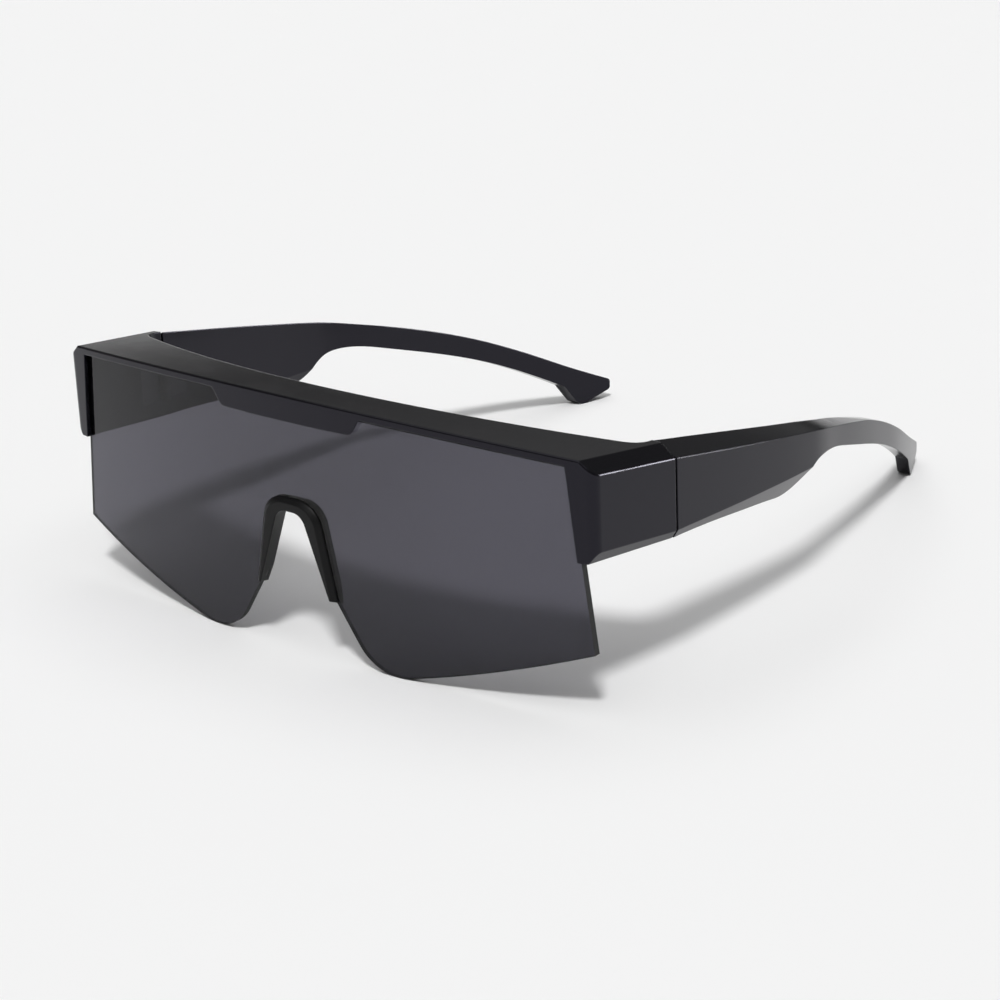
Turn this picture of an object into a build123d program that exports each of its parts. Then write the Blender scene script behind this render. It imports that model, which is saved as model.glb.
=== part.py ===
from build123d import *
from math import asin, atan2, cos, hypot, radians, sin, sqrt, tan
import os

os.makedirs("parts", exist_ok=True)

# Fitover sunglasses that stand on the lens and the tips of the temples, millimetres and degrees.
# X runs across the face with the wearer's left at +X, Y runs from the front to the back, Z is up.

# Overall sizes
overall_depth = 173.0  # front of the brow to the ends of the temples
seam_width = 151.0  # across the outer faces where the temples meet the front
brow_height = 57.9  # top of the brow at the middle
front_radius = 305.5  # plan curve of the front face
crown_radius = 1200.0  # rise of the top face towards the middle, seen from the front
top_slope = 7.5  # fall of the top face towards the back
seam_station = 33.8  # front of the brow to the hinge seam
seam_gap = 0.5
overrun = 3.0  # how far cutters pass through what they cut
clearance = 0.08  # between pieces that are fitted together

# Brow bar and end pieces
bar_thickness = 2.5
bar_depth = 12.8  # at the middle
bar_end_gap = 5.0  # bar's back edge at an end piece to the seam
bar_blend = 5.0  # inner corner between the bar and an end piece
lip_height = 1.65
drop_height = 5.6  # the deeper middle of the lip
drop_top_width = 42.0
drop_low_width = 36.5
drop_radius = 2.0
drop_root_radius = 0.8
end_thickness = 5.6  # wall of the end piece at the seam
end_flare = 1.8  # how much further out the seam is than the front corner
end_front_drop = 23.9  # top of the brow to the end piece's lower edge at the front
end_back_drop = 26.7  # and at the seam
end_margin_top = 6.6  # front corner to the lens opening, at the top
end_margin_low = 4.1  # and at the lower edge of the end piece
end_corner_radius = 2.5
rib_depth = 2.0  # rib that holds the lens from behind
bevel_angle = 40.0
bevel_front = 2.5  # depth of the outer bevel at the front corner
bevel_seam = 2.8  # and at the seam
low_bevel_angle = 57.0
low_bevel_height = 1.9
edge_round = 0.4  # of the front's outer edges
seam_round = 0.15  # of its edges at the seam
tolerance = 1e-3

# Lens
lens_set_back = 1.0  # from the front face of the brow
lens_thickness = 1.5
lens_roof = 1.3  # brow left above the lens
lens_corner_inset = 1.5  # from the end piece's front corner to the lens's lower corner
lens_corner_height = 13.5
lens_waist_inset = 3.9  # and to the lens's side where it leaves the end piece
lens_tuck = 1.0  # how far the lens reaches under the end piece
lobe_half = 26.5  # place of the lower lobes
lobe_radius = 12.0
lobe_slope = 14.0  # of the lower edge where it leaves the lobe
notch_foot_half = 10.25
notch_foot_height = 15.0
notch_top_height = 34.1
notch_top_half = 6.2
notch_radius = 5.2

# Nose piece
nose_proud = 1.0  # in front of the lens
nose_depth = 4.6  # front to back, with the lens between its two flanges
nose_top_height = 35.1
nose_outer_top_half = 7.3
nose_outer_foot_half = 12.3
nose_outer_radius = 6.5
nose_front_taper = 1.1  # how much smaller the outline is at the front
nose_back_taper = 0.9  # and at the back
nose_gap_height = 32.2
nose_gap_top_half = 3.4
nose_gap_foot_half = 12.6
nose_gap_radius = 3.3
nose_splay = 1.0  # how much wider the gap is at the back
nose_foot_height = 12.8
nose_front_foot_height = 14.2

# Temples
temple_inset = 26.3  # inward reach of the tips
temple_thickness = 3.6
temple_bevel_angle = 26.0  # of the outer bevel, which takes nearly all of the top face at the seam
tip_top_height = 5.4
tip_end_height = 2.6  # of the flat end
tip_end_radius = 1.1  # rounds its corners
tip_low_set_back = 7.7  # end of the temple to the lowest point of its tip
tip_radius = 2.4
crease_length = 58.0
crease_fall = 3.0  # of the lower bevel's upper edge, over its length
inner_crease_start = 22.0  # seam to the inner side's lower bevel
inner_crease_drop = 2.0  # below the lower edge at the seam
inner_crease_fall = 0.7
inner_bevel_angle = 70.0
bevel_stations = 29

# Along the temple, as shares of its length: inward bend, wall above the tip's, fall of the top, depth of
# the outer bevel and its angle, each as a share of its whole
bend_shares = [
    (0.000, 0.000, 1.00, 0.000, 1.00, 1.00),
    (0.133, 0.000, 0.80, 0.084, 0.88, 0.95),
    (0.277, 0.017, 0.50, 0.179, 0.66, 0.82),
    (0.385, 0.052, 0.30, 0.252, 0.52, 0.71),
    (0.492, 0.171, 0.15, 0.343, 0.34, 0.52),
    (0.600, 0.304, 0.05, 0.446, 0.10, 0.38),
    (0.707, 0.456, 0.00, 0.564, -0.20, 0.34),
    (0.815, 0.627, 0.00, 0.714, -0.50, 0.32),
    (0.923, 0.837, 0.00, 0.886, -0.80, 0.31),
    (1.000, 1.000, 0.00, 1.000, -1.00, 0.30),
]
# Height of the side below its top edge, as shares of the temple's length and of its height at the seam
side_height_shares = [
    (0.000, 1.000),
    (0.133, 0.887),
    (0.219, 0.841),
    (0.277, 0.816),
    (0.316, 0.786),
    (0.341, 0.694),
    (0.363, 0.554),
    (0.387, 0.425),
    (0.421, 0.338),
    (0.464, 0.293),
    (0.528, 0.290),
    (0.636, 0.288),
    (0.744, 0.279),
    (0.830, 0.283),
    (0.907, 0.298),
]

# Hinges
hinge_drop = 1.5  # of its middle, below the middle of the end piece
barrel_radius = 1.4
leaf_thickness = 1.0
leaf_length = 7.0
knuckle_height = 1.7
knuckle_gap = 0.1
knuckle_count = 5
barrel_relief = 0.25
screw_radius = 0.6
screw_fit = 0.05
screw_head_radius = 0.95
screw_head_height = 0.6
screw_slot_width = 0.3
screw_slot_depth = 0.3
screw_end_gap = 0.2
anchor_length = 2.6
anchor_depth = 2.2
anchor_height = 4.0
anchor_set_back = 2.6  # seam to the anchor

# Places that follow from the sizes
front_y = -overall_depth / 2
seam_y = front_y + seam_station
lens_front_y = front_y + lens_set_back
lens_back_y = lens_front_y + lens_thickness
seam_half = seam_width / 2
corner_half = seam_half - end_flare
inner_half = seam_half - end_thickness
end_front_low = brow_height - end_front_drop
end_back_low = brow_height - end_back_drop
end_inner_top = corner_half - end_margin_top
end_inner_low = corner_half - end_margin_low
lens_corner_half = corner_half - lens_corner_inset
lens_waist_half = corner_half - lens_waist_inset
slope_tan = tan(radians(top_slope))


def face_y(half, set_back=0.0):
    """Depth of the front's plan curve, or of one set back from it."""
    return front_y + front_radius - sqrt((front_radius - set_back) ** 2 - half**2)


def top_height(half, y):
    """Height of the moulded top face."""
    return brow_height - half**2 / (2 * crown_radius) - slope_tan * (y - front_y)


def tangent_point(point, centre, radius, side):
    """Where a line from the point touches the circle, on the side given by +1 or -1."""
    dx = centre[0] - point[0]
    dy = centre[1] - point[1]
    distance = hypot(dx, dy)
    angle = atan2(dy, dx) + side * asin(radius / distance)
    reach = sqrt(distance**2 - radius**2)
    return (point[0] + reach * cos(angle), point[1] + reach * sin(angle))


def crown_body(drop):
    """Everything below the top face, or below that face lowered by a drop."""
    reach = seam_half + overrun
    sag = reach**2 / (2 * crown_radius)
    slope = radians(top_slope)
    top_plane = Plane(
        origin=(0, front_y, brow_height - drop),
        x_dir=(1, 0, 0),
        z_dir=(0, -cos(slope), sin(slope)),
    )
    with BuildPart() as body:
        with BuildSketch(top_plane):
            with BuildLine():
                ThreePointArc((-reach, -sag), (0, 0), (reach, -sag))
                Polyline((reach, -sag), (reach, -2 * brow_height), (-reach, -2 * brow_height), (-reach, -sag))
            make_face()
        extrude(amount=overall_depth, both=True)
    return body.part


def curved_slab(near, far, half, low, high):
    """A wall that follows the front's plan curve, between two set-backs from its face."""
    with BuildPart() as slab:
        with BuildSketch(Plane.XY.offset(low)):
            with BuildLine():
                ThreePointArc((-half, face_y(half, near)), (0, front_y + near), (half, face_y(half, near)))
                Line((half, face_y(half, near)), (half, face_y(half, far)))
                ThreePointArc((half, face_y(half, far)), (0, front_y + far), (-half, face_y(half, far)))
                Line((-half, face_y(half, far)), (-half, face_y(half, near)))
            make_face()
        extrude(amount=high - low)
    return slab.part


def edge_cutter(stations, angles, facing=1):
    """A wedge that cuts a bevel along an edge. Stations are (y, x, z) of the bevel's line on the side face.

    The side face looks along +X, or along -X where facing is -1. Each station has its angle. A positive
    one rises into the wall and takes what is above it, a negative one falls and takes what is below.
    """
    inward = 2 * end_thickness
    with BuildPart() as cutter:
        for (y, x, z), angle in zip(stations, angles):
            dx = facing * cos(radians(angle))
            dz = sin(radians(angle))
            side = 1 if angle > 0 else -1
            with BuildSketch(Plane.XZ.offset(-y)):
                with BuildLine():
                    Polyline(
                        (x + overrun * dx, z - overrun * dz),
                        (x - inward * dx, z + inward * dz),
                        (x + overrun * dx, z + side * 2 * inward),
                        close=True,
                    )
                make_face()
        loft()
    return cutter.part


def lies_near(edge, place, reach):
    """Whether the middle of an edge is near a place on plan, or near its mirror image."""
    middle = edge.position_at(1 / 2)
    return abs(abs(middle.X) - place[0]) < reach and abs(middle.Y - place[1]) < reach


def arch_sketch(top_half, foot_half, top, foot, radius):
    """A rounded arch, wider at its foot."""
    with BuildSketch() as arch:
        with BuildLine():
            Polyline(
                (-foot_half, foot), (-top_half, top), (top_half, top), (foot_half, foot), close=True
            )
        make_face()
        fillet(arch.vertices().group_by(Axis.Y)[-1], radius=radius)
    return arch.sketch_local


def opening_half(z):
    """Half the width of the opening between the end pieces at a height."""
    share = (z - end_front_low) / (brow_height - end_front_low)
    return end_inner_low + (end_inner_top - end_inner_low) * share


# The lens outline, also grown to cut the groove that holds it
def lens_body(gap, roof):
    low_corner = (lens_corner_half, lens_corner_height)
    waist = (lens_waist_half, end_front_low)
    ear_low_z = end_front_low + lens_tuck
    ear_low = (opening_half(ear_low_z) + lens_tuck + gap, ear_low_z)
    ear_top = (opening_half(brow_height) + lens_tuck + gap, brow_height + overrun)
    lobe = (lobe_half, lobe_radius)
    slope = radians(lobe_slope)
    lobe_out = (lobe_half + lobe_radius * sin(slope), lobe_radius - lobe_radius * cos(slope))
    foot = (notch_foot_half, notch_foot_height)
    lobe_in = tangent_point(foot, lobe, lobe_radius, -1)
    slab = curved_slab(
        lens_set_back - gap, lens_set_back + lens_thickness + gap, lens_corner_half + overrun, 0, brow_height
    )
    roof_body = crown_body(roof)
    notch = arch_sketch(notch_top_half, notch_foot_half, notch_top_height, notch_foot_height, notch_radius)
    with BuildPart() as body:
        with BuildSketch(Plane.XZ):
            with BuildLine():
                Line((0, notch_foot_height), foot)
                Line(foot, lobe_in)
                ThreePointArc(lobe_in, (lobe_half, 0), lobe_out)
                TangentArc(lobe_out, low_corner, tangent=(cos(slope), sin(slope)))
                Polyline(low_corner, waist, ear_low, ear_top, (0, brow_height + overrun), (0, notch_foot_height))
            make_face()
            add(notch, mode=Mode.SUBTRACT)
            split(bisect_by=Plane.YZ, keep=Keep.TOP)
            mirror(about=Plane.YZ)
        extrude(amount=overall_depth, both=True)
        add(slab, mode=Mode.INTERSECT)
        add(roof_body, mode=Mode.INTERSECT)
    return body.part


with BuildPart() as lens:
    add(lens_body(0, lens_roof))

# Front frame: brow bar, front lip with its drop, end pieces with the ribs that hold the lens
crown = crown_body(0)
under_bar = crown_body(bar_thickness)
under_lip = crown_body(lip_height)
under_drop = crown_body(drop_height)
lens_groove = lens_body(clearance, lens_roof - clearance)
front_plate = curved_slab(0, lens_set_back - clearance, corner_half, end_back_low, brow_height)
front_room = curved_slab(-overrun, lens_set_back - clearance, seam_half, end_back_low, brow_height)
rib_slab = curved_slab(
    0, lens_set_back + lens_thickness + rib_depth, corner_half, end_back_low, brow_height
)
back_y = seam_y - seam_gap / 2 - bar_end_gap

with BuildPart() as bar:
    with BuildSketch(Plane.XY.offset(end_back_low)) as bar_plan:
        with BuildLine():
            ThreePointArc((-corner_half, face_y(corner_half)), (0, front_y), (corner_half, face_y(corner_half)))
            Polyline(
                (corner_half, face_y(corner_half)),
                (seam_half, seam_y - seam_gap / 2),
                (inner_half, seam_y - seam_gap / 2),
                (inner_half, back_y),
            )
            ThreePointArc((inner_half, back_y), (0, front_y + bar_depth), (-inner_half, back_y))
            Polyline(
                (-inner_half, back_y),
                (-inner_half, seam_y - seam_gap / 2),
                (-seam_half, seam_y - seam_gap / 2),
                (-corner_half, face_y(corner_half)),
            )
        make_face()
        inner_corners = bar_plan.vertices().filter_by_position(Axis.Y, back_y - tolerance, back_y + tolerance)
        fillet(inner_corners, radius=bar_blend)
    extrude(amount=brow_height)
    add(under_bar, mode=Mode.SUBTRACT)
    add(front_room, mode=Mode.SUBTRACT)

with BuildPart() as lip:
    add(front_plate)
    add(under_lip, mode=Mode.SUBTRACT)

with BuildPart() as drop:
    with BuildSketch(Plane.XZ) as drop_outline:
        with BuildLine():
            low = brow_height - drop_height
            high = brow_height - bar_thickness / 2
            Polyline(
                (drop_top_width / 2, high),
                (drop_low_width / 2, low),
                (-drop_low_width / 2, low),
                (-drop_top_width / 2, high),
                close=True,
            )
        make_face()
        fillet(drop_outline.vertices().group_by(Axis.Y)[0], radius=drop_radius)
    extrude(amount=overall_depth, both=True)
    add(front_plate, mode=Mode.INTERSECT)

with BuildPart() as flanges:
    with BuildSketch(Plane.XZ):
        with BuildLine():
            Polyline(
                (end_inner_low, end_front_low),
                (end_inner_top, brow_height),
                (corner_half, brow_height),
                (corner_half, end_back_low),
                (end_inner_low, end_back_low),
                close=True,
            )
        make_face()
        mirror(about=Plane.YZ)
    extrude(amount=overall_depth, both=True)
    add(rib_slab, mode=Mode.INTERSECT)

with BuildPart() as end_walls:
    with BuildSketch(Plane.XY.offset(end_back_low)):
        with BuildLine():
            ThreePointArc(
                (inner_half, face_y(inner_half)),
                ((inner_half + corner_half) / 2, face_y((inner_half + corner_half) / 2)),
                (corner_half, face_y(corner_half)),
            )
            Polyline(
                (corner_half, face_y(corner_half)),
                (seam_half, seam_y - seam_gap / 2),
                (inner_half, seam_y - seam_gap / 2),
                (inner_half, face_y(inner_half)),
            )
        make_face()
        mirror(about=Plane.YZ)
    extrude(amount=brow_height)

# What is under the slanted lower edge of the end pieces
with BuildPart() as end_floor:
    with BuildSketch(Plane.YZ):
        with BuildLine():
            fall = (end_front_low - end_back_low) / (seam_station - lens_set_back)
            Polyline(
                (front_y - overrun, end_front_low + fall * overrun),
                (seam_y + overrun, end_back_low - fall * overrun),
                (seam_y + overrun, 0),
                (front_y - overrun, 0),
                close=True,
            )
        make_face()
    extrude(amount=seam_width, both=True)

temple_top = top_height((seam_half + inner_half) / 2, seam_y)
corner_top = top_height(corner_half, face_y(corner_half)) - bevel_front
seam_top = temple_top - bevel_seam
side_run = seam_y - face_y(corner_half)
side_flare = (seam_half - corner_half) / side_run
bevel_fall = (corner_top - seam_top) / side_run
low_fall = (end_front_low - end_back_low) / side_run
ahead = 2 * overrun
end_bevel = edge_cutter(
    [
        (
            face_y(corner_half) - ahead,
            corner_half - side_flare * ahead,
            corner_top + bevel_fall * ahead,
        ),
        (seam_y + overrun, seam_half + side_flare * overrun, seam_top - bevel_fall * overrun),
    ],
    [bevel_angle, bevel_angle],
)
end_low_bevel = edge_cutter(
    [
        (
            face_y(corner_half) - ahead,
            corner_half - side_flare * ahead,
            end_front_low + low_bevel_height + low_fall * ahead,
        ),
        (
            seam_y + overrun,
            seam_half + side_flare * overrun,
            end_back_low + low_bevel_height - low_fall * overrun,
        ),
    ],
    [-low_bevel_angle, -low_bevel_angle],
)

with BuildPart() as front_frame:
    add(bar.part)
    add(lip.part)
    add(drop.part)
    add(flanges.part)
    add(end_walls.part)
    add(crown, mode=Mode.INTERSECT)
    add(end_floor.part, mode=Mode.SUBTRACT)
    add(lens_groove, mode=Mode.SUBTRACT)
    add(end_bevel, mode=Mode.SUBTRACT)
    add(end_bevel.mirror(Plane.YZ), mode=Mode.SUBTRACT)
    add(end_low_bevel, mode=Mode.SUBTRACT)
    add(end_low_bevel.mirror(Plane.YZ), mode=Mode.SUBTRACT)
    corner_place = (corner_half, face_y(corner_half))
    fillet(
        [e for e in front_frame.edges().filter_by(Axis.Z) if lies_near(e, corner_place, end_thickness / 8)],
        radius=end_corner_radius,
    )
    drop_roots = [
        e
        for e in front_frame.edges()
        if lies_near(e, (drop_top_width / 2, face_y(drop_top_width / 2)), lens_set_back)
        and lens_set_back / 2 < e.length < lens_set_back
        and e.position_at(1 / 2).Z > brow_height - lip_height - drop_height / 2
    ]
    fillet(drop_roots, radius=drop_root_radius)
    bevel_fronts = [
        e
        for e in front_frame.edges()
        if lies_near(e, corner_place, end_corner_radius * 2)
        and end_corner_radius / 2 < e.length < end_thickness
        and e.position_at(1 / 2).Z > corner_top
    ]
    rim = [e for e in front_frame.edges() if e.length > 2 * (corner_half - end_thickness)]
    rim = [e for e in rim if e.position_at(1 / 2).Z > brow_height - tolerance]
    long_edges = [
        e
        for e in front_frame.edges()
        if abs(e.position_at(1 / 2).X) > inner_half + leaf_thickness
        and abs(e.position_at(1).Y - e.position_at(0).Y) > side_run - ahead
    ]
    fillet(rim + bevel_fronts + long_edges, radius=edge_round)
    seam_faces = front_frame.faces().filter_by_position(Axis.Y, seam_y - seam_gap, seam_y)
    fillet([e for face in seam_faces for e in face.outer_wire().edges()], radius=seam_round)


# Hinge axis and the room for its barrel, leaf and anchor in the end piece
hinge_x = inner_half + leaf_thickness - barrel_radius
hinge_z = (temple_top + end_back_low) / 2 - hinge_drop
barrel_height = knuckle_count * knuckle_height + (knuckle_count - 1) * knuckle_gap
barrel_low = hinge_z - barrel_height / 2
knuckle_pitch = knuckle_height + knuckle_gap


def hinge_room(toward):
    """The pocket for a hinge leaf, on the side of the seam that toward gives."""
    with BuildPart() as room:
        with BuildSketch(Plane.XY.offset(barrel_low - 2 * clearance)):
            with Locations((hinge_x, seam_y)):
                Circle(barrel_radius + barrel_relief)
            with BuildLine():
                Polyline(
                    (inner_half - leaf_length, seam_y),
                    (inner_half + leaf_thickness + clearance, seam_y),
                    (inner_half + leaf_thickness + clearance, seam_y + toward * (leaf_length + clearance)),
                    (inner_half - leaf_length, seam_y + toward * (leaf_length + clearance)),
                    close=True,
                )
            make_face()
        extrude(amount=barrel_height + 4 * clearance)
        with BuildSketch(Plane.XY.offset(hinge_z - anchor_height / 2 - clearance)):
            with BuildLine():
                near = seam_y + toward * (anchor_set_back - clearance)
                far = seam_y + toward * (anchor_set_back + anchor_length + clearance)
                deep = inner_half + leaf_thickness + anchor_depth + clearance
                Polyline((inner_half, near), (deep, near), (deep, far), (inner_half, far), close=True)
            make_face()
        extrude(amount=anchor_height + 2 * clearance)
    return room.part


def hinge_leaf(toward, levels):
    """A hinge leaf with its anchor and the knuckles at the given levels."""
    with BuildPart() as leaf:
        with BuildSketch(Plane.XY.offset(barrel_low)):
            with BuildLine():
                near = seam_y + toward * (barrel_radius + barrel_relief)
                far = seam_y + toward * leaf_length
                Polyline(
                    (inner_half, near),
                    (inner_half + leaf_thickness, near),
                    (inner_half + leaf_thickness, far),
                    (inner_half, far),
                    close=True,
                )
            make_face()
        extrude(amount=barrel_height)
        with BuildSketch(Plane.XY.offset(hinge_z - anchor_height / 2)):
            with BuildLine():
                near_anchor = seam_y + toward * anchor_set_back
                far_anchor = seam_y + toward * (anchor_set_back + anchor_length)
                deep = inner_half + leaf_thickness + anchor_depth
                Polyline(
                    (inner_half, near_anchor),
                    (deep, near_anchor),
                    (deep, far_anchor),
                    (inner_half, far_anchor),
                    close=True,
                )
            make_face()
        extrude(amount=anchor_height)
        for level in levels:
            with BuildSketch(Plane.XY.offset(barrel_low + level * knuckle_pitch)):
                with Locations((hinge_x, seam_y)):
                    Circle(barrel_radius)
                with BuildLine():
                    Polyline(
                        (hinge_x, seam_y),
                        (inner_half + leaf_thickness, seam_y),
                        (inner_half + leaf_thickness, near),
                        (inner_half, near),
                        (hinge_x, seam_y + toward * barrel_radius / 2),
                        close=True,
                    )
                make_face()
            extrude(amount=knuckle_height)
        with BuildSketch(Plane.XY.offset(barrel_low - clearance)):
            with Locations((hinge_x, seam_y)):
                Circle(screw_radius + screw_fit)
        extrude(amount=barrel_height + 2 * clearance, mode=Mode.SUBTRACT)
        with BuildSketch(Plane.XY.offset(barrel_low + barrel_height - screw_head_height)):
            with Locations((hinge_x, seam_y)):
                Circle(screw_head_radius + screw_fit)
        extrude(amount=2 * screw_head_height, mode=Mode.SUBTRACT)
    return leaf.part


front_hinge_room = hinge_room(-1)
temple_hinge_room = hinge_room(1)
front_levels = range(0, knuckle_count, 2)
temple_levels = range(1, knuckle_count, 2)

with BuildPart() as front_frame_cut:
    add(front_frame.part)
    add(front_hinge_room, mode=Mode.SUBTRACT)
    add(front_hinge_room.mirror(Plane.YZ), mode=Mode.SUBTRACT)


def nose_arch(taper):
    """The outline of the nose piece, made smaller by a taper."""
    return arch_sketch(
        nose_outer_top_half - taper,
        nose_outer_foot_half - taper,
        nose_top_height - taper,
        nose_foot_height - overrun,
        nose_outer_radius - taper,
    )


# Nose piece: a rubber saddle with a groove for the edge of the lens notch
nose_front_y = lens_front_y - nose_proud
nose_back_y = nose_front_y + nose_depth
lens_keep_out = lens_body(clearance, lens_roof)

with BuildPart() as nose_piece:
    for near_y, near_taper, far_y, far_taper in (
        (nose_front_y, nose_front_taper, lens_front_y, 0),
        (lens_front_y, 0, lens_back_y, 0),
        (lens_back_y, 0, nose_back_y, nose_back_taper),
    ):
        near_arch = nose_arch(near_taper)
        far_arch = nose_arch(far_taper)
        with BuildSketch(Plane.XZ.offset(-near_y)):
            add(near_arch)
        with BuildSketch(Plane.XZ.offset(-far_y)):
            add(far_arch)
        loft()

with BuildPart() as nose_gap:
    for y in (nose_front_y - overrun, nose_back_y + overrun):
        wider = nose_splay * (y - nose_front_y) / nose_depth
        gap_arch = arch_sketch(
            nose_gap_top_half + wider,
            nose_gap_foot_half + wider,
            nose_gap_height,
            nose_foot_height - 2 * overrun,
            nose_gap_radius,
        )
        with BuildSketch(Plane.XZ.offset(-y)):
            add(gap_arch)
    loft()

with BuildPart() as nose_feet:
    with BuildSketch(Plane.YZ):
        with BuildLine():
            Polyline(
                (nose_front_y - overrun, nose_front_foot_height),
                (nose_front_y, nose_front_foot_height),
                (nose_back_y, nose_foot_height),
                (nose_back_y + overrun, nose_foot_height),
                (nose_back_y + overrun, nose_foot_height - 2 * overrun),
                (nose_front_y - overrun, nose_foot_height - 2 * overrun),
                close=True,
            )
        make_face()
    extrude(amount=nose_outer_foot_half + overrun, both=True)

with BuildPart() as nose_piece_cut:
    add(nose_piece.part)
    add(nose_gap.part, mode=Mode.SUBTRACT)
    add(nose_feet.part, mode=Mode.SUBTRACT)
    add(lens_keep_out, mode=Mode.SUBTRACT)


def smooth_row(rows, share):
    """The row at a share of the first column, on smooth curves that stay between the rows of the table."""
    k = max(i for i in range(len(rows) - 1) if rows[i][0] <= share)
    near, far = rows[k], rows[k + 1]
    width = far[0] - near[0]
    t = (share - near[0]) / width
    row = [share]
    for column in range(1, len(near)):
        steps = [(b[column] - a[column]) / (b[0] - a[0]) for a, b in zip(rows, rows[1:])]
        inner = [2 * a * b / (a + b) if a * b > 0 else 0 for a, b in zip(steps, steps[1:])]
        slopes = [steps[0]] + inner + [steps[-1]]
        row.append(
            near[column] * (1 + 2 * t) * (1 - t) ** 2
            + slopes[k] * width * t * (1 - t) ** 2
            + far[column] * t**2 * (3 - 2 * t)
            - slopes[k + 1] * width * t**2 * (1 - t)
        )
    return row


# Temple: a tall panel behind the seam that steps up into a narrow arm, which curves in to a flared tip
temple_y = seam_y + seam_gap / 2
temple_end = overall_depth / 2
temple_length = temple_end - temple_y
wall_extra = end_thickness - temple_thickness
bends = []
bevel_angles = []
for n in range(bevel_stations):
    row = smooth_row(bend_shares, n / (bevel_stations - 1))
    length_share, bend_share, wall_share, fall_share, bevel_share, angle_share = row
    bevel_angles.append(angle_share * temple_bevel_angle)
    bends.append(
        (
            temple_y + length_share * temple_length,
            seam_half - bend_share * temple_inset,
            temple_thickness + wall_share * wall_extra,
            temple_top - fall_share * (temple_top - tip_top_height),
            bevel_share * bevel_seam,
        )
    )
low_edge = []
for length_share, height_share in side_height_shares:
    fall_share = smooth_row(bend_shares, length_share)[3]
    top = temple_top - fall_share * (temple_top - tip_top_height)
    low_edge.append((temple_y + length_share * temple_length, top - height_share * (temple_top - end_back_low)))
tip_centre = (temple_end - tip_low_set_back, tip_radius)
tip_top = (temple_end, tip_top_height)
tip_corner = (temple_end, tip_top_height - tip_end_height)
tip_under = tangent_point(low_edge[-1], tip_centre, tip_radius, -1)
tip_end = tangent_point(tip_corner, tip_centre, tip_radius, 1)

# The plan runs past both ends, and the side view gives the temple its ends
seam_row = bends[0]
end_row = bends[-1]
end_slope = (end_row[1] - bends[-2][1]) / (end_row[0] - bends[-2][0])
past_end = (end_row[1] + end_slope * overrun, temple_end + overrun)
with BuildPart() as temple_body:
    with BuildSketch():
        with BuildLine():
            Line((seam_row[1], temple_y - overrun), (seam_row[1], temple_y))
            Spline([(x, y) for y, x, wall, top, bevel in bends])
            Polyline(
                (end_row[1], temple_end),
                past_end,
                (past_end[0] - end_row[2], past_end[1]),
                (end_row[1] - end_row[2], temple_end),
            )
            Spline([(x - wall, y) for y, x, wall, top, bevel in reversed(bends)])
            Polyline(
                (inner_half, temple_y), (inner_half, temple_y - overrun), (seam_row[1], temple_y - overrun)
            )
        make_face()
    extrude(amount=brow_height)

with BuildPart() as temple_side:
    with BuildSketch(Plane.YZ) as side_outline:
        with BuildLine():
            Spline([(y, top) for y, x, wall, top, bevel in bends])
            Polyline(tip_top, tip_corner, tip_end)
            ThreePointArc(tip_end, (tip_centre[0], 0), tip_under)
            Line(tip_under, low_edge[-1])
            Spline(list(reversed(low_edge)))
            Line(low_edge[0], (temple_y, temple_top))
        make_face()
        fillet(side_outline.vertices().group_by(Axis.X)[-1], radius=tip_end_radius)
    extrude(amount=seam_width)

bevel_line = [(y, x, top - bevel) for y, x, wall, top, bevel in bends]
first_fall = (bevel_line[0][2] - bevel_line[1][2]) / (bevel_line[1][0] - bevel_line[0][0])
bevel_start = (temple_y - overrun, seam_half, bevel_line[0][2] + first_fall * overrun)
top_bevel = edge_cutter([bevel_start] + bevel_line, [temple_bevel_angle] + bevel_angles)
crease_start = (temple_y - overrun, seam_half, end_back_low + low_bevel_height)
crease = []
inner_crease = []
for y, x, wall, top, bevel in bends:
    run = (y - temple_y) / crease_length
    if run <= 1:
        crease.append((y, x, end_back_low + low_bevel_height - crease_fall * run))
        if y >= temple_y + inner_crease_start:
            inner_crease.append((y, x - wall, end_back_low - inner_crease_drop - inner_crease_fall * run))
low_bevel = edge_cutter([crease_start] + crease, [-low_bevel_angle] * (len(crease) + 1))
inner_bevel = edge_cutter(inner_crease, [-inner_bevel_angle] * len(inner_crease), facing=-1)

with BuildPart() as temple_left:
    add(temple_body.part)
    add(temple_side.part, mode=Mode.INTERSECT)
    add(top_bevel, mode=Mode.SUBTRACT)
    add(low_bevel, mode=Mode.SUBTRACT)
    add(inner_bevel, mode=Mode.SUBTRACT)
    add(temple_hinge_room, mode=Mode.SUBTRACT)

with BuildPart() as hinge_screw:
    with BuildSketch(Plane.XY.offset(barrel_low + screw_end_gap)):
        with Locations((hinge_x, seam_y)):
            Circle(screw_radius)
    extrude(amount=barrel_height - screw_end_gap - screw_head_height)
    with BuildSketch(Plane.XY.offset(barrel_low + barrel_height - screw_head_height)):
        with Locations((hinge_x, seam_y)):
            Circle(screw_head_radius)
    extrude(amount=screw_head_height)
    with BuildSketch(Plane.XY.offset(barrel_low + barrel_height - screw_slot_depth)):
        with Locations((hinge_x, seam_y)):
            Rectangle(3 * screw_head_radius, screw_slot_width)
    extrude(amount=screw_head_height, mode=Mode.SUBTRACT)

single_pieces = {
    "front_frame": front_frame_cut.part,
    "lens": lens.part,
    "nose_piece": nose_piece_cut.part,
}
left_pieces = {
    "temple": temple_left.part,
    "front_hinge_leaf": hinge_leaf(-1, front_levels),
    "temple_hinge_leaf": hinge_leaf(1, temple_levels),
    "hinge_screw": hinge_screw.part,
}
pieces = dict(single_pieces)
for name, piece in left_pieces.items():
    pieces[name + "_left"] = piece
    pieces[name + "_right"] = piece.mirror(Plane.YZ)
for name, piece in pieces.items():
    piece.label = name
    export_step(piece, f"parts/{name}.step")
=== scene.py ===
import math

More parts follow.
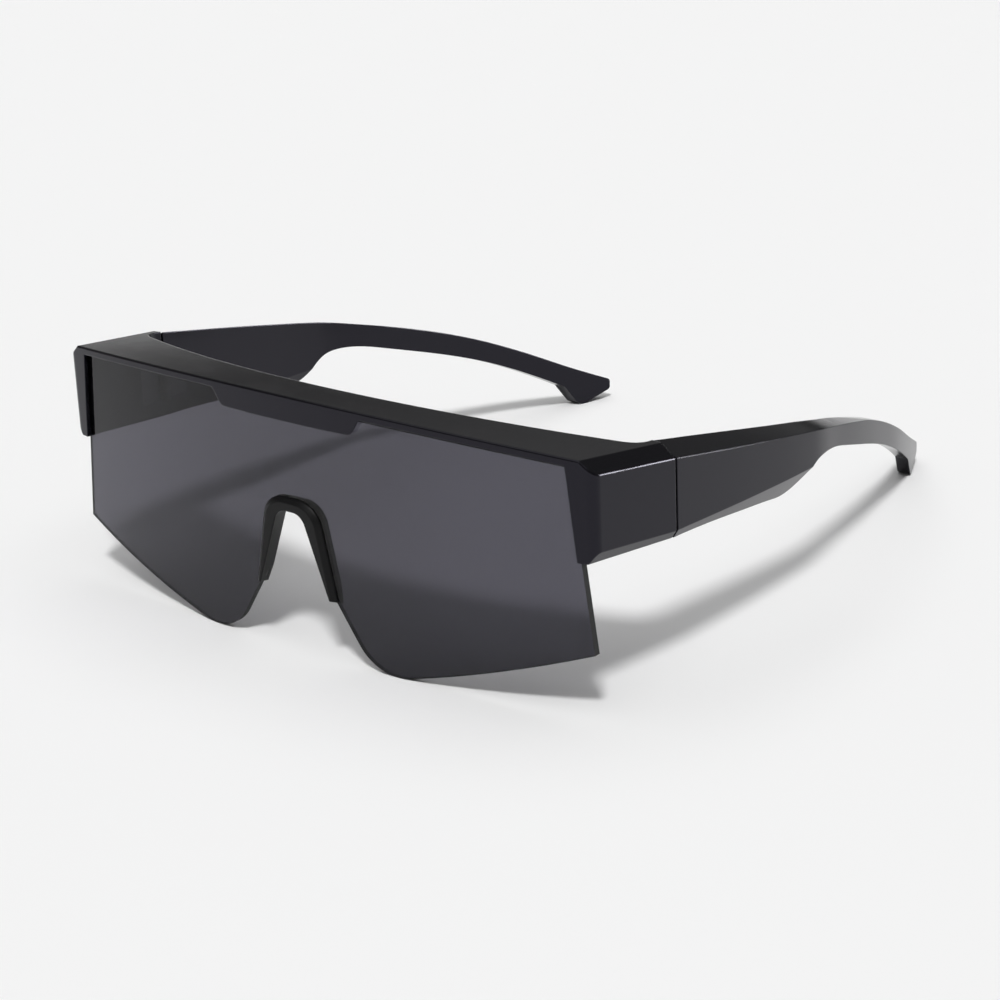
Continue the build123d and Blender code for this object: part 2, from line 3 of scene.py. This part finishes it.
import bmesh
import bpy
from mathutils import Matrix, Vector


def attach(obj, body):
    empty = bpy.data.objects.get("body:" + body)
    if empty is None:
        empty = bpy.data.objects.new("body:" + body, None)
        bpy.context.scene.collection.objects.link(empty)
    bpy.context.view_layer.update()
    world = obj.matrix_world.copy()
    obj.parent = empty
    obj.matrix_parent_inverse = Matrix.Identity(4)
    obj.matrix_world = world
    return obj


# Fitover sunglasses on a pale studio floor, in metres, in the frame of the CAD model.

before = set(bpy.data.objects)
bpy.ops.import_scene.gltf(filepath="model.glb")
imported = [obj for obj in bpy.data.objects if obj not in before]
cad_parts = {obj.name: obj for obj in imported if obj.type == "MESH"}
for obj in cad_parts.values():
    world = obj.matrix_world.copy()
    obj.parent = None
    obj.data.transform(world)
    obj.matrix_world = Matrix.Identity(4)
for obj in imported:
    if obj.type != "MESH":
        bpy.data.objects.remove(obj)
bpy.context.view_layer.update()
scene = bpy.context.scene
scene.view_settings.view_transform = "Standard"
print("frame loaded:", ", ".join(sorted(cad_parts)))

# A Mix node's colour sockets share their names with its number sockets, so they go by place.
mixFactor, mixFirst, mixSecond, mixResult = 0, 6, 7, 2


def linearColor(hexColor):  # sRGB hex to the linear values that sockets take
    parts = [int(hexColor[i : i + 2], 16) / 255 for i in (1, 3, 5)]
    # the numbers are those of the sRGB standard
    linear = [v / 12.92 if v <= 0.04045 else ((v + 0.055) / 1.055) ** 2.4 for v in parts]
    return (*linear, 1.0)


def addNode(tree, kind, settings=None, inputs=None, links=None):  # a node, its values and its links
    node = tree.nodes.new(kind)
    for name, value in (settings or {}).items():
        setattr(node, name, value)
    for name, value in (inputs or {}).items():
        node.inputs[name].default_value = value
    for name, output in (links or {}).items():
        tree.links.new(output, node.inputs[name])
    return node


def newMaterial(name):  # an empty material with its output node
    material = bpy.data.materials.new(name)
    material.use_nodes = True
    material.node_tree.nodes.clear()
    return material, addNode(material.node_tree, "ShaderNodeOutputMaterial")


def dressNode(name, material):  # gives a CAD node its finish
    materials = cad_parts[name].data.materials
    materials.clear()
    materials.append(material)


# Injection moulded nylon, tumbled and lacquered: deep black with a faint blue cast, mirror-like
# but for the slight waviness that a mould leaves, and a few soft handling marks in the gloss
frameSettings = {
    "color": "#08080a",
    "sheenTint": "#eae6ff",
    "roughness": 0.11,
    "markedRoughness": 0.17,
    "ior": 1.38,
    "edgeRadiusMm": 0.35,  # the mould's edges are never quite sharp
    "edgeSamples": 6,
    "waveSpacingMm": 6.0,
    "waveDetail": 1.0,
    "waveDepthMm": 0.0005,
    "markSpacingMm": 14.0,
    "markDetail": 5.0,
    "markRoughness": 0.65,
    "markRange": (0.45, 0.75),  # of the noise, from clean to fully marked
}


def makeFrameGloss(settings):
    material, output = newMaterial("lacqueredNylonBlack")
    tree = material.node_tree
    place = addNode(tree, "ShaderNodeTexCoord").outputs["Object"]
    marks = addNode(
        tree,
        "ShaderNodeTexNoise",
        inputs={
            "Scale": 1000 / settings["markSpacingMm"],
            "Detail": settings["markDetail"],
            "Roughness": settings["markRoughness"],
        },
        links={"Vector": place},
    )
    clean, marked = settings["markRange"]
    gloss = addNode(
        tree,
        "ShaderNodeMapRange",
        inputs={
            "From Min": clean,
            "From Max": marked,
            "To Min": settings["roughness"],
            "To Max": settings["markedRoughness"],
        },
        links={"Value": marks.outputs["Fac"]},
    )
    waves = addNode(
        tree,
        "ShaderNodeTexNoise",
        inputs={"Scale": 1000 / settings["waveSpacingMm"], "Detail": settings["waveDetail"]},
        links={"Vector": place},
    )
    edges = addNode(
        tree,
        "ShaderNodeBevel",
        {"samples": settings["edgeSamples"]},
        {"Radius": settings["edgeRadiusMm"] / 1000},
    )
    bump = addNode(
        tree,
        "ShaderNodeBump",
        inputs={"Strength": 1.0, "Distance": settings["waveDepthMm"] / 1000},
        links={"Height": waves.outputs["Fac"], "Normal": edges.outputs["Normal"]},
    )
    shader = addNode(
        tree,
        "ShaderNodeBsdfPrincipled",
        inputs={
            "Base Color": linearColor(settings["color"]),
            "IOR": settings["ior"],
            "Specular Tint": linearColor(settings["sheenTint"]),
        },
        links={"Roughness": gloss.outputs["Result"], "Normal": bump.outputs["Normal"]},
    )
    tree.links.new(shader.outputs["BSDF"], output.inputs["Surface"])
    return material


frameGloss = makeFrameGloss(frameSettings)
for name in ("front_frame", "temple_left", "temple_right"):
    dressNode(name, frameGloss)
print("frame and temples finished")

# A raised land inside each seam, moulded with the front, on which the open temple stops. The seam
# stays a dark groove, and no light comes through it.
seamLandSettings = {
    "frontMm": -53.0,  # just inside the front's seam face, which is at -52.95
    "depthMm": 0.5,  # up to 0.05 from the temple
    "outlineMm": (  # X and Z of its corners on the wearer's left
        (71.4, 31.8),
        (73.9, 31.8),
        (74.9, 33.4),
        (74.9, 48.2),
        (71.9, 50.7),
        (71.4, 50.7),
    ),
}


def makeSeamLand(name, side, settings):
    shape = bmesh.new()
    front = settings["frontMm"] / 1000
    corners = [
        shape.verts.new((side * x / 1000, front, z / 1000)) for x, z in settings["outlineMm"]
    ]
    face = shape.faces.new(corners)
    raised = bmesh.ops.extrude_face_region(shape, geom=[face], use_keep_orig=True)
    bmesh.ops.translate(
        shape,
        vec=(0, settings["depthMm"] / 1000, 0),
        verts=[part for part in raised["geom"] if isinstance(part, bmesh.types.BMVert)],
    )
    bmesh.ops.recalc_face_normals(shape, faces=shape.faces)
    mesh = bpy.data.meshes.new(name)
    shape.to_mesh(mesh)
    shape.free()
    land = bpy.data.objects.new(name, mesh)
    scene.collection.objects.link(land)
    mesh.materials.append(frameGloss)
    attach(land, "front")


makeSeamLand("seam_land_left", 1, seamLandSettings)
makeSeamLand("seam_land_right", -1, seamLandSettings)
print("seam lands made")

# Dyed polycarbonate shield, polished: grey with a touch of violet, and black where it is cut.
# Painted shade makes it a little darker in the middle and low down. Its coat against glare mirrors
# less than bare plastic would, so the IOR is low.
lensSettings = {
    "outerTint": "#54535c",
    # painted shade: the middle and lower tints are darker than the outer one, for shade seen
    # through and mirrored in the lens
    "middleTintWithPaintedShade": "#504f57",
    "lowerTintWithPaintedShade": "#504f57",
    "cutEdgeTint": "#050506",
    "middleHalfMm": (8.0, 55.0),  # from here to there the middle tint, darkened by painted shade, turns into the outer one
    "lowerHeightMm": (2.0, 13.0),  # and here the lower tint, darkened by painted shade, into those two
    "polishedFacing": 0.5,  # a face that looks along Y by more than this is polished, not cut
    "roughness": 0.008,
    "ior": 1.3,
    "hazeSpacingMm": 30.0,
    "hazeDetail": 3.0,
    "hazeRange": (0.3, 0.7),  # of the noise, from clear to hazy
    "hazeRoughness": 0.018,
    "cutRoughness": 0.5,
}


def makeLensTint(settings):
    material, output = newMaterial("dyedPolycarbonateGrey")
    tree = material.node_tree
    place = addNode(tree, "ShaderNodeTexCoord").outputs["Object"]
    haze = addNode(
        tree,
        "ShaderNodeTexNoise",
        inputs={"Scale": 1000 / settings["hazeSpacingMm"], "Detail": settings["hazeDetail"]},
        links={"Vector": place},
    )
    clear, hazy = settings["hazeRange"]
    polish = addNode(
        tree,
        "ShaderNodeMapRange",
        inputs={
            "From Min": clear,
            "From Max": hazy,
            "To Min": settings["roughness"],
            "To Max": settings["hazeRoughness"],
        },
        links={"Value": haze.outputs["Fac"]},
    )
    spot = addNode(tree, "ShaderNodeSeparateXYZ", links={"Vector": place})
    half = addNode(tree, "ShaderNodeMath", {"operation": "ABSOLUTE"}, links={0: spot.outputs["X"]})
    inner, outer = settings["middleHalfMm"]
    outward = addNode(
        tree,
        "ShaderNodeMapRange",
        {"interpolation_type": "SMOOTHSTEP"},
        {"From Min": inner / 1000, "From Max": outer / 1000},
        {"Value": half.outputs["Value"]},
    )
    low, high = settings["lowerHeightMm"]
    upward = addNode(
        tree,
        "ShaderNodeMapRange",
        {"interpolation_type": "SMOOTHSTEP"},
        {"From Min": low / 1000, "From Max": high / 1000},
        {"Value": spot.outputs["Z"]},
    )
    across = addNode(
        tree,
        "ShaderNodeMix",
        {"data_type": "RGBA"},
        {
            mixFirst: linearColor(settings["middleTintWithPaintedShade"]),
            mixSecond: linearColor(settings["outerTint"]),
        },
        {mixFactor: outward.outputs["Result"]},
    )
    # the lens grey with painted shade mixed in, darker in the middle and low down
    dyeWithPaintedShade = addNode(
        tree,
        "ShaderNodeMix",
        {"data_type": "RGBA"},
        {mixFirst: linearColor(settings["lowerTintWithPaintedShade"])},
        {mixFactor: upward.outputs["Result"], mixSecond: across.outputs[mixResult]},
    )
    facing = addNode(tree, "ShaderNodeNewGeometry").outputs["Normal"]
    forward = addNode(tree, "ShaderNodeSeparateXYZ", links={"Vector": facing}).outputs["Y"]
    turned = addNode(tree, "ShaderNodeMath", {"operation": "ABSOLUTE"}, links={0: forward})
    polished = addNode(
        tree,
        "ShaderNodeMath",
        {"operation": "GREATER_THAN"},
        {1: settings["polishedFacing"]},
        {0: turned.outputs["Value"]},
    ).outputs["Value"]
    gloss = addNode(
        tree,
        "ShaderNodeMapRange",
        inputs={"To Min": settings["cutRoughness"]},
        links={"Value": polished, "To Max": polish.outputs["Result"]},
    )
    tint = addNode(
        tree,
        "ShaderNodeMix",
        {"data_type": "RGBA"},
        {mixFirst: linearColor(settings["cutEdgeTint"])},
        {mixFactor: polished, mixSecond: dyeWithPaintedShade.outputs[mixResult]},
    )
    shader = addNode(
        tree,
        "ShaderNodeBsdfPrincipled",
        inputs={"IOR": settings["ior"]},
        links={
            "Base Color": tint.outputs[mixResult],
            "Transmission Weight": polished,
            "Roughness": gloss.outputs["Result"],
        },
    )
    tree.links.new(shader.outputs["BSDF"], output.inputs["Surface"])
    return material


dressNode("lens", makeLensTint(lensSettings))
print("lens finished")

# Moulded silicone rubber: near black and satin, with the fine grain of a spark-eroded mould, drawn
# coarser than it is so that it shows
noseSettings = {
    "color": "#070708",
    "roughness": 0.42,
    "ior": 1.3,
    "edgeRadiusMm": 0.5,
    "edgeSamples": 6,
    "grainMm": 0.35,
    "grainDetail": 2.0,
    "grainStrength": 0.8,
    "grainDepthMm": 0.008,
}


def makeNoseRubber(settings):
    material, output = newMaterial("siliconeRubberBlack")
    tree = material.node_tree
    place = addNode(tree, "ShaderNodeTexCoord").outputs["Object"]
    grain = addNode(
        tree,
        "ShaderNodeTexNoise",
        inputs={"Scale": 1000 / settings["grainMm"], "Detail": settings["grainDetail"]},
        links={"Vector": place},
    )
    edges = addNode(
        tree,
        "ShaderNodeBevel",
        {"samples": settings["edgeSamples"]},
        {"Radius": settings["edgeRadiusMm"] / 1000},
    )
    bump = addNode(
        tree,
        "ShaderNodeBump",
        inputs={
            "Strength": settings["grainStrength"],
            "Distance": settings["grainDepthMm"] / 1000,
        },
        links={"Height": grain.outputs["Fac"], "Normal": edges.outputs["Normal"]},
    )
    shader = addNode(
        tree,
        "ShaderNodeBsdfPrincipled",
        inputs={
            "Base Color": linearColor(settings["color"]),
            "Roughness": settings["roughness"],
            "IOR": settings["ior"],
        },
        links={"Normal": bump.outputs["Normal"]},
    )
    tree.links.new(shader.outputs["BSDF"], output.inputs["Surface"])
    return material


dressNode("nose_piece", makeNoseRubber(noseSettings))
print("nose piece finished")

# Blackened steel hinges, stamped and turned: dark oxide with fine lines round the turned knuckles,
# drawn coarser than they are so that they show
hingeSettings = {
    "color": "#3a3a3d",
    "wornColor": "#56565a",
    "roughness": 0.3,
    "linedRoughness": 0.48,
    "lineSpacingMm": 0.12,
    "lineDetail": 2.0,
    "lineRange": (0.35, 0.65),  # of the noise, from smooth to lined
    "lineSqueeze": (0.08, 0.08, 1.0),  # the noise is drawn out across the pin
}


def makeHingeSteel(settings):
    material, output = newMaterial("blackenedSteel")
    tree = material.node_tree
    place = addNode(tree, "ShaderNodeTexCoord").outputs["Object"]
    stretched = addNode(
        tree,
        "ShaderNodeMapping",
        inputs={"Scale": settings["lineSqueeze"]},
        links={"Vector": place},
    )
    lines = addNode(
        tree,
        "ShaderNodeTexNoise",
        inputs={"Scale": 1000 / settings["lineSpacingMm"], "Detail": settings["lineDetail"]},
        links={"Vector": stretched.outputs["Vector"]},
    )
    smooth, lined = settings["lineRange"]
    gloss = addNode(
        tree,
        "ShaderNodeMapRange",
        inputs={
            "From Min": smooth,
            "From Max": lined,
            "To Min": settings["roughness"],
            "To Max": settings["linedRoughness"],
        },
        links={"Value": lines.outputs["Fac"]},
    )
    oxide = addNode(
        tree,
        "ShaderNodeMix",
        {"data_type": "RGBA"},
        {
            mixFirst: linearColor(settings["color"]),
            mixSecond: linearColor(settings["wornColor"]),
        },
        {mixFactor: lines.outputs["Fac"]},
    )
    shader = addNode(
        tree,
        "ShaderNodeBsdfPrincipled",
        inputs={"Metallic": 1.0},
        links={"Base Color": oxide.outputs[mixResult], "Roughness": gloss.outputs["Result"]},
    )
    tree.links.new(shader.outputs["BSDF"], output.inputs["Surface"])
    return material


hingeSteel = makeHingeSteel(hingeSettings)
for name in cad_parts:
    if "hinge" in name:
        dressNode(name, hingeSteel)
print("hinges finished")

# Studio: a floor of matt seamless paper, a soft key light, a room that is pale at the horizon and
# dim above, a softbox overhead, and a strip at the back that only the gloss shows
studioSettings = {
    "floorColor": "#f4f4f4",
    "floorSizeM": 12.0,
    "backgroundColor": "#f5f5f5",
    "roomGreys": (  # height of the direction, grey
        (0.0, 0.7),
        (0.03, 0.32),
        (0.055, 0.16),
        (0.1, 0.06),
        (0.17, 0.13),
        (0.23, 0.24),
        (0.3, 0.17),
        (0.73, 0.15),
        (0.81, 1.0),
    ),
    "keyDirection": (0.36, -0.54, 1.0),
    "keyStrength": 1.87,
    "keyAngleDeg": 9.0,
    "stripDirection": (0.63, 0.73, 0.27),
    "stripDistanceM": 1.2,
    "stripSizeM": (0.4, 0.5),
    "stripPowerW": 14.0,
}


def makeFloor(settings):
    mesh = bpy.data.meshes.new("studioFloor")
    shape = bmesh.new()
    bmesh.ops.create_grid(shape, x_segments=1, y_segments=1, size=settings["floorSizeM"] / 2)
    shape.to_mesh(mesh)
    shape.free()
    floor = bpy.data.objects.new("studioFloor", mesh)
    scene.collection.objects.link(floor)
    material, output = newMaterial("paperBackdrop")
    tree = material.node_tree
    shader = addNode(
        tree, "ShaderNodeBsdfDiffuse", inputs={"Color": linearColor(settings["floorColor"])}
    )
    tree.links.new(shader.outputs["BSDF"], output.inputs["Surface"])
    mesh.materials.append(material)


def makeWorld(settings):
    world = bpy.data.worlds.new("studioRoom")
    scene.world = world
    world.use_nodes = True
    tree = world.node_tree
    tree.nodes.clear()
    output = addNode(tree, "ShaderNodeOutputWorld")
    direction = addNode(tree, "ShaderNodeTexCoord").outputs["Generated"]
    height = addNode(tree, "ShaderNodeSeparateXYZ", links={"Vector": direction}).outputs["Z"]
    room = addNode(tree, "ShaderNodeValToRGB", links={"Fac": height})
    stops = room.color_ramp.elements
    while len(stops) < len(settings["roomGreys"]):
        stops.new(1.0)  # moved to its height below
    for stop, (position, grey) in zip(stops, settings["roomGreys"]):
        stop.position = position
        stop.color = (grey, grey, grey, 1.0)
    path = addNode(tree, "ShaderNodeLightPath")
    seen = addNode(  # the camera sees the plain background, also through the lens
        tree,
        "ShaderNodeMath",
        {"operation": "MAXIMUM"},
        links={0: path.outputs["Is Camera Ray"], 1: path.outputs["Is Transmission Ray"]},
    )
    shown = addNode(
        tree,
        "ShaderNodeMix",
        {"data_type": "RGBA"},
        {mixSecond: linearColor(settings["backgroundColor"])},
        {mixFactor: seen.outputs["Value"], mixFirst: room.outputs["Color"]},
    )
    light = addNode(tree, "ShaderNodeBackground", links={"Color": shown.outputs[mixResult]})
    tree.links.new(light.outputs["Background"], output.inputs["Surface"])


def makeKeyLight(settings):
    lamp = bpy.data.lights.new("keyLight", "SUN")
    lamp.energy = settings["keyStrength"]
    lamp.angle = math.radians(settings["keyAngleDeg"])
    key = bpy.data.objects.new("keyLight", lamp)
    key.rotation_mode = "QUATERNION"
    key.rotation_quaternion = Vector(settings["keyDirection"]).to_track_quat("Z", "Y")
    scene.collection.objects.link(key)


def makeStripLight(settings):
    lamp = bpy.data.lights.new("stripLight", "AREA")
    lamp.shape = "RECTANGLE"
    lamp.size, lamp.size_y = settings["stripSizeM"]
    lamp.energy = settings["stripPowerW"]
    strip = bpy.data.objects.new("stripLight", lamp)
    away = Vector(settings["stripDirection"]).normalized()
    strip.location = away * settings["stripDistanceM"]
    strip.rotation_mode = "QUATERNION"
    strip.rotation_quaternion = away.to_track_quat("Z", "Y")
    strip.visible_camera = False
    strip.visible_diffuse = False
    scene.collection.objects.link(strip)


makeFloor(studioSettings)
makeWorld(studioSettings)
makeKeyLight(studioSettings)
makeStripLight(studioSettings)
print("studio ready")

# Camera where the photographer's was: from the front and the wearer's left, a little above
cameraSettings = {
    "azimuthDeg": 39.6,
    "elevationDeg": 20.6,
    "rollDeg": -2.38,
    "distanceM": 0.60799,
    "targetM": (0.00592, -0.02423, 0.01629),
    "lensMm": 96.58,
    "sensorMm": 36.0,
    "clipStartM": 0.01,
}


def makeCamera(settings):
    azimuth = math.radians(settings["azimuthDeg"])
    elevation = math.radians(settings["elevationDeg"])
    roll = math.radians(settings["rollDeg"])
    back = Vector(
        (
            math.sin(azimuth) * math.cos(elevation),
            -math.cos(azimuth) * math.cos(elevation),
            math.sin(elevation),
        )
    )
    level = Vector((math.cos(azimuth), math.sin(azimuth), 0))
    upright = back.cross(level)
    right = level * math.cos(roll) + upright * math.sin(roll)
    up = upright * math.cos(roll) - level * math.sin(roll)
    place = Vector(settings["targetM"]) + back * settings["distanceM"]
    data = bpy.data.cameras.new("studioCamera")
    data.lens = settings["lensMm"]
    data.sensor_width = settings["sensorMm"]
    data.clip_start = settings["clipStartM"]
    camera = bpy.data.objects.new("studioCamera", data)
    turn = Matrix((right, up, back)).transposed().to_4x4()
    camera.matrix_world = Matrix.Translation(place) @ turn
    scene.collection.objects.link(camera)
    scene.camera = camera


makeCamera(cameraSettings)
print("camera placed")
